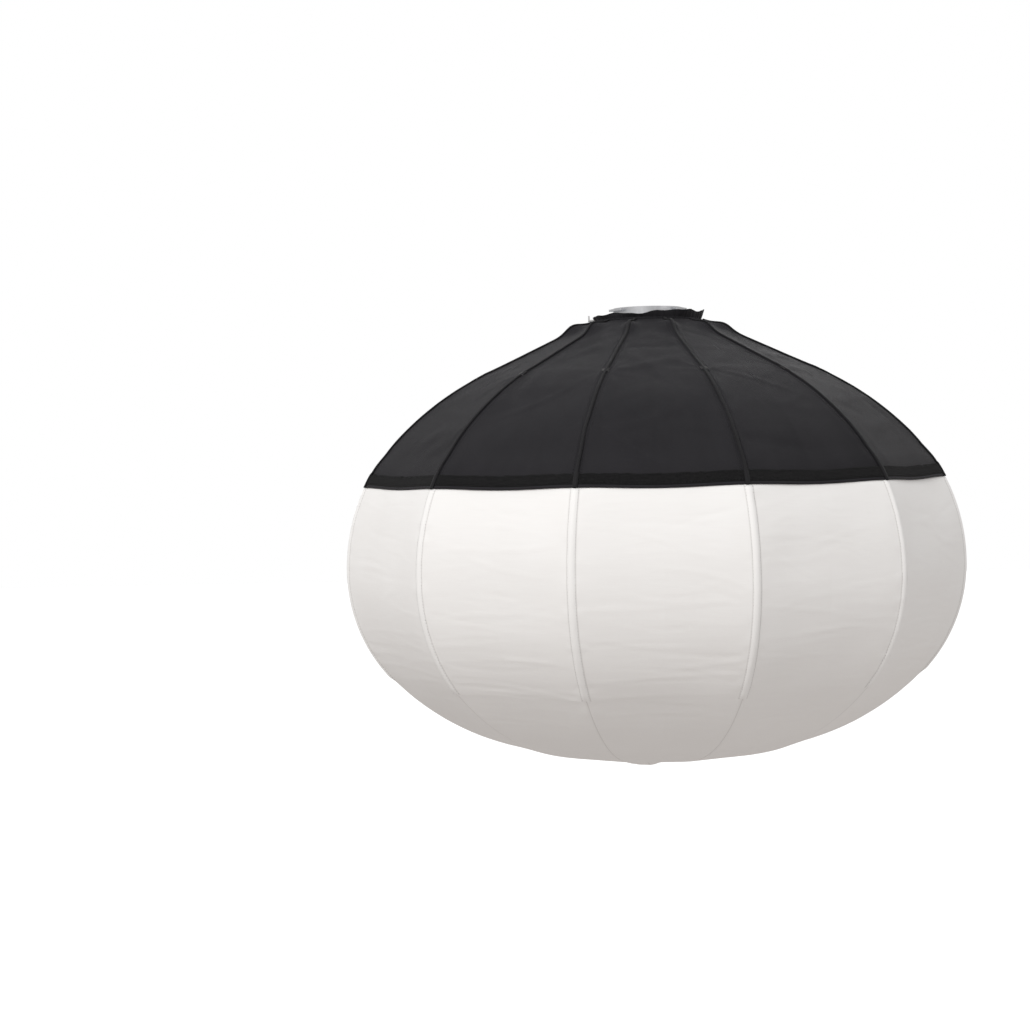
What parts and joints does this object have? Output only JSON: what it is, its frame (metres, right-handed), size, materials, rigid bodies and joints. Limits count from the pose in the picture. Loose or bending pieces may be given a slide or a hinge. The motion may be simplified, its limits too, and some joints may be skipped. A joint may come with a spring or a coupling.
{
  "type": "lantern softbox",
  "caption": "Globe-shaped lantern softbox with a black top cover, white diffuser gores and a folding rib frame on a bayonet speed ring.",
  "frame": {"origin": "centre of the speed ring's top face, where the lamp seats", "axes": "+Z along the bayonet collar towards the lamp, so the globe hangs below; the collar catch is on -X; ribs are at 15 degrees from +X and every 30 degrees on"},
  "size_m": [0.8694, 0.8694, 0.6562],
  "materials": {
    "cover_cloth": "black coated nylon, soft sheen, loop tape along the hem",
    "diffuser_cloth": "white translucent diffusion cloth",
    "plate_alloy": "satin machined alloy",
    "collar_alloy": "bright turned alloy",
    "hub_nylon": "black glass-filled nylon",
    "ring_nylon": "black glass-filled nylon, slightly polished by use",
    "steel": "zinc-plated steel",
    "band_nylon": "black moulded band",
    "rib_alloy": "alloy arm with a black spring rod"
  },
  "bodies": {
    "speedring": {"speedring_plate": "plate_alloy", "bayonet_collar": "collar_alloy", "plate_screws": "steel", "rib_hub": "hub_nylon", "hinge_pins": "steel", "neck_band": "band_nylon", "catch_spring": "steel"},
    "drive_ring": {"drive_ring": "ring_nylon"},
    "collar_catch": {"collar_catch": "steel"},
    "rib_01": {"rib_01": "rib_alloy", "cover_panel_01": "cover_cloth", "diffuser_panel_01": "diffuser_cloth"},
    "base_01": {"diffuser_base_01": "diffuser_cloth"},
    "rib_02": {"rib_02": "rib_alloy", "cover_panel_02": "cover_cloth", "diffuser_panel_02": "diffuser_cloth"},
    "base_02": {"diffuser_base_02": "diffuser_cloth"},
    "rib_03": {"rib_03": "rib_alloy", "cover_panel_03": "cover_cloth", "diffuser_panel_03": "diffuser_cloth"},
    "base_03": {"diffuser_base_03": "diffuser_cloth"},
    "rib_04": {"rib_04": "rib_alloy", "cover_panel_04": "cover_cloth", "diffuser_panel_04": "diffuser_cloth"},
    "base_04": {"diffuser_base_04": "diffuser_cloth"},
    "rib_05": {"rib_05": "rib_alloy", "cover_panel_05": "cover_cloth", "diffuser_panel_05": "diffuser_cloth"},
    "base_05": {"diffuser_base_05": "diffuser_cloth"},
    "rib_06": {"rib_06": "rib_alloy", "cover_panel_06": "cover_cloth", "diffuser_panel_06": "diffuser_cloth"},
    "base_06": {"diffuser_base_06": "diffuser_cloth"},
    "rib_07": {"rib_07": "rib_alloy", "cover_panel_07": "cover_cloth", "diffuser_panel_07": "diffuser_cloth"},
    "base_07": {"diffuser_base_07": "diffuser_cloth"},
    "rib_08": {"rib_08": "rib_alloy", "cover_panel_08": "cover_cloth", "diffuser_panel_08": "diffuser_cloth"},
    "base_08": {"diffuser_base_08": "diffuser_cloth"},
    "rib_09": {"rib_09": "rib_alloy", "cover_panel_09": "cover_cloth", "diffuser_panel_09": "diffuser_cloth"},
    "base_09": {"diffuser_base_09": "diffuser_cloth"},
    "rib_10": {"rib_10": "rib_alloy", "cover_panel_10": "cover_cloth", "diffuser_panel_10": "diffuser_cloth"},
    "base_10": {"diffuser_base_10": "diffuser_cloth"},
    "rib_11": {"rib_11": "rib_alloy", "cover_panel_11": "cover_cloth", "diffuser_panel_11": "diffuser_cloth"},
    "base_11": {"diffuser_base_11": "diffuser_cloth"},
    "rib_12": {"rib_12": "rib_alloy", "cover_panel_12": "cover_cloth", "diffuser_panel_12": "diffuser_cloth"},
    "base_12": {"diffuser_base_12": "diffuser_cloth"}
  },
  "joints": [
    {"name": "rib_01_fold", "type": "hinge", "parent": "speedring", "child": "rib_01", "pos_m": [0.06375, 0.01708, -0.04], "axis": [-0.2588, 0.9659, 0], "range_deg": [0, 38.5], "deforming": ["cover_panel_01", "diffuser_panel_01"]},
    {"name": "rib_02_fold", "type": "hinge", "parent": "speedring", "child": "rib_02", "pos_m": [0.04667, 0.04667, -0.04], "axis": [-0.7071, 0.7071, 0], "range_deg": [0, 38.5], "deforming": ["cover_panel_02", "diffuser_panel_02"]},
    {"name": "rib_03_fold", "type": "hinge", "parent": "speedring", "child": "rib_03", "pos_m": [0.01708, 0.06375, -0.04], "axis": [-0.9659, 0.2588, 0], "range_deg": [0, 38.5], "deforming": ["cover_panel_03", "diffuser_panel_03"]},
    {"name": "rib_04_fold", "type": "hinge", "parent": "speedring", "child": "rib_04", "pos_m": [-0.01708, 0.06375, -0.04], "axis": [-0.9659, -0.2588, 0], "range_deg": [0, 38.5], "deforming": ["cover_panel_04", "diffuser_panel_04"]},
    {"name": "rib_05_fold", "type": "hinge", "parent": "speedring", "child": "rib_05", "pos_m": [-0.04667, 0.04667, -0.04], "axis": [-0.7071, -0.7071, 0], "range_deg": [0, 38.5], "deforming": ["cover_panel_05", "diffuser_panel_05"]},
    {"name": "rib_06_fold", "type": "hinge", "parent": "speedring", "child": "rib_06", "pos_m": [-0.06375, 0.01708, -0.04], "axis": [-0.2588, -0.9659, 0], "range_deg": [0, 38.5], "deforming": ["cover_panel_06", "diffuser_panel_06"]},
    {"name": "rib_07_fold", "type": "hinge", "parent": "speedring", "child": "rib_07", "pos_m": [-0.06375, -0.01708, -0.04], "axis": [0.2588, -0.9659, 0], "range_deg": [0, 38.5], "deforming": ["cover_panel_07", "diffuser_panel_07"]},
    {"name": "rib_08_fold", "type": "hinge", "parent": "speedring", "child": "rib_08", "pos_m": [-0.04667, -0.04667, -0.04], "axis": [0.7071, -0.7071, 0], "range_deg": [0, 38.5], "deforming": ["cover_panel_08", "diffuser_panel_08"]},
    {"name": "rib_09_fold", "type": "hinge", "parent": "speedring", "child": "rib_09", "pos_m": [-0.01708, -0.06375, -0.04], "axis": [0.9659, -0.2588, 0], "range_deg": [0, 38.5], "deforming": ["cover_panel_09", "diffuser_panel_09"]},
    {"name": "rib_10_fold", "type": "hinge", "parent": "speedring", "child": "rib_10", "pos_m": [0.01708, -0.06375, -0.04], "axis": [0.9659, 0.2588, 0], "range_deg": [0, 38.5], "deforming": ["cover_panel_10", "diffuser_panel_10"]},
    {"name": "rib_11_fold", "type": "hinge", "parent": "speedring", "child": "rib_11", "pos_m": [0.04667, -0.04667, -0.04], "axis": [0.7071, 0.7071, 0], "range_deg": [0, 38.5], "deforming": ["cover_panel_11", "diffuser_panel_11"]},
    {"name": "rib_12_fold", "type": "hinge", "parent": "speedring", "child": "rib_12", "pos_m": [0.06375, -0.01708, -0.04], "axis": [0.2588, 0.9659, 0], "range_deg": [0, 38.5], "deforming": ["cover_panel_12", "diffuser_panel_12"]},
    {"name": "drive_ring_slide", "type": "slide", "parent": "speedring", "child": "drive_ring", "axis": [0, 0, -1], "range_m": [0, 0.01851]},
    {"name": "base_01_hang", "type": "hinge", "parent": "rib_01", "child": "base_01", "pos_m": [0.37322, 0.1, -0.51585], "axis": [0.2588, -0.9659, 0], "range_deg": [0, 105.8], "deforming": ["diffuser_base_01"]},
    {"name": "base_02_hang", "type": "hinge", "parent": "rib_02", "child": "base_02", "pos_m": [0.27321, 0.27321, -0.51585], "axis": [0.7071, -0.7071, 0], "range_deg": [0, 105.8], "deforming": ["diffuser_base_02"]},
    {"name": "base_03_hang", "type": "hinge", "parent": "rib_03", "child": "base_03", "pos_m": [0.1, 0.37322, -0.51585], "axis": [0.9659, -0.2588, 0], "range_deg": [0, 105.8], "deforming": ["diffuser_base_03"]},
    {"name": "base_04_hang", "type": "hinge", "parent": "rib_04", "child": "base_04", "pos_m": [-0.1, 0.37322, -0.51585], "axis": [0.9659, 0.2588, 0], "range_deg": [0, 105.8], "deforming": ["diffuser_base_04"]},
    {"name": "base_05_hang", "type": "hinge", "parent": "rib_05", "child": "base_05", "pos_m": [-0.27321, 0.27321, -0.51585], "axis": [0.7071, 0.7071, 0], "range_deg": [0, 105.8], "deforming": ["diffuser_base_05"]},
    {"name": "base_06_hang", "type": "hinge", "parent": "rib_06", "child": "base_06", "pos_m": [-0.37322, 0.1, -0.51585], "axis": [0.2588, 0.9659, 0], "range_deg": [0, 105.8], "deforming": ["diffuser_base_06"]},
    {"name": "base_07_hang", "type": "hinge", "parent": "rib_07", "child": "base_07", "pos_m": [-0.37322, -0.1, -0.51585], "axis": [-0.2588, 0.9659, 0], "range_deg": [0, 105.8], "deforming": ["diffuser_base_07"]},
    {"name": "base_08_hang", "type": "hinge", "parent": "rib_08", "child": "base_08", "pos_m": [-0.27321, -0.27321, -0.51585], "axis": [-0.7071, 0.7071, 0], "range_deg": [0, 105.8], "deforming": ["diffuser_base_08"]},
    {"name": "base_09_hang", "type": "hinge", "parent": "rib_09", "child": "base_09", "pos_m": [-0.1, -0.37322, -0.51585], "axis": [-0.9659, 0.2588, 0], "range_deg": [0, 105.8], "deforming": ["diffuser_base_09"]},
    {"name": "base_10_hang", "type": "hinge", "parent": "rib_10", "child": "base_10", "pos_m": [0.1, -0.37322, -0.51585], "axis": [-0.9659, -0.2588, 0], "range_deg": [0, 105.8], "deforming": ["diffuser_base_10"]},
    {"name": "base_11_hang", "type": "hinge", "parent": "rib_11", "child": "base_11", "pos_m": [0.27321, -0.27321, -0.51585], "axis": [-0.7071, -0.7071, 0], "range_deg": [0, 105.8], "deforming": ["diffuser_base_11"]},
    {"name": "base_12_hang", "type": "hinge", "parent": "rib_12", "child": "base_12", "pos_m": [0.37322, -0.1, -0.51585], "axis": [-0.2588, -0.9659, 0], "range_deg": [0, 105.8], "deforming": ["diffuser_base_12"]},
    {"name": "collar_catch_pull", "type": "slide", "parent": "speedring", "child": "collar_catch", "axis": [-1, 0, 0], "range_m": [0, 0.004], "stiffness_N_per_m": 700, "springref_m": -0.002, "deforming": ["catch_spring"]}
  ],
  "couplings": [
    {"joint": "rib_02_fold", "follows": "rib_01_fold", "ratio": 1},
    {"joint": "rib_03_fold", "follows": "rib_01_fold", "ratio": 1},
    {"joint": "rib_04_fold", "follows": "rib_01_fold", "ratio": 1},
    {"joint": "rib_05_fold", "follows": "rib_01_fold", "ratio": 1},
    {"joint": "rib_06_fold", "follows": "rib_01_fold", "ratio": 1},
    {"joint": "rib_07_fold", "follows": "rib_01_fold", "ratio": 1},
    {"joint": "rib_08_fold", "follows": "rib_01_fold", "ratio": 1},
    {"joint": "rib_09_fold", "follows": "rib_01_fold", "ratio": 1},
    {"joint": "rib_10_fold", "follows": "rib_01_fold", "ratio": 1},
    {"joint": "rib_11_fold", "follows": "rib_01_fold", "ratio": 1},
    {"joint": "rib_12_fold", "follows": "rib_01_fold", "ratio": 1},
    {"joint": "drive_ring_slide", "follows": "rib_01_fold", "m_per_rad": 0.027476},
    {"joint": "base_01_hang", "follows": "rib_01_fold", "ratio": 2.7455},
    {"joint": "base_02_hang", "follows": "rib_01_fold", "ratio": 2.7455},
    {"joint": "base_03_hang", "follows": "rib_01_fold", "ratio": 2.7455},
    {"joint": "base_04_hang", "follows": "rib_01_fold", "ratio": 2.7455},
    {"joint": "base_05_hang", "follows": "rib_01_fold", "ratio": 2.7455},
    {"joint": "base_06_hang", "follows": "rib_01_fold", "ratio": 2.7455},
    {"joint": "base_07_hang", "follows": "rib_01_fold", "ratio": 2.7455},
    {"joint": "base_08_hang", "follows": "rib_01_fold", "ratio": 2.7455},
    {"joint": "base_09_hang", "follows": "rib_01_fold", "ratio": 2.7455},
    {"joint": "base_10_hang", "follows": "rib_01_fold", "ratio": 2.7455},
    {"joint": "base_11_hang", "follows": "rib_01_fold", "ratio": 2.7455},
    {"joint": "base_12_hang", "follows": "rib_01_fold", "ratio": 2.7455}
  ]
}
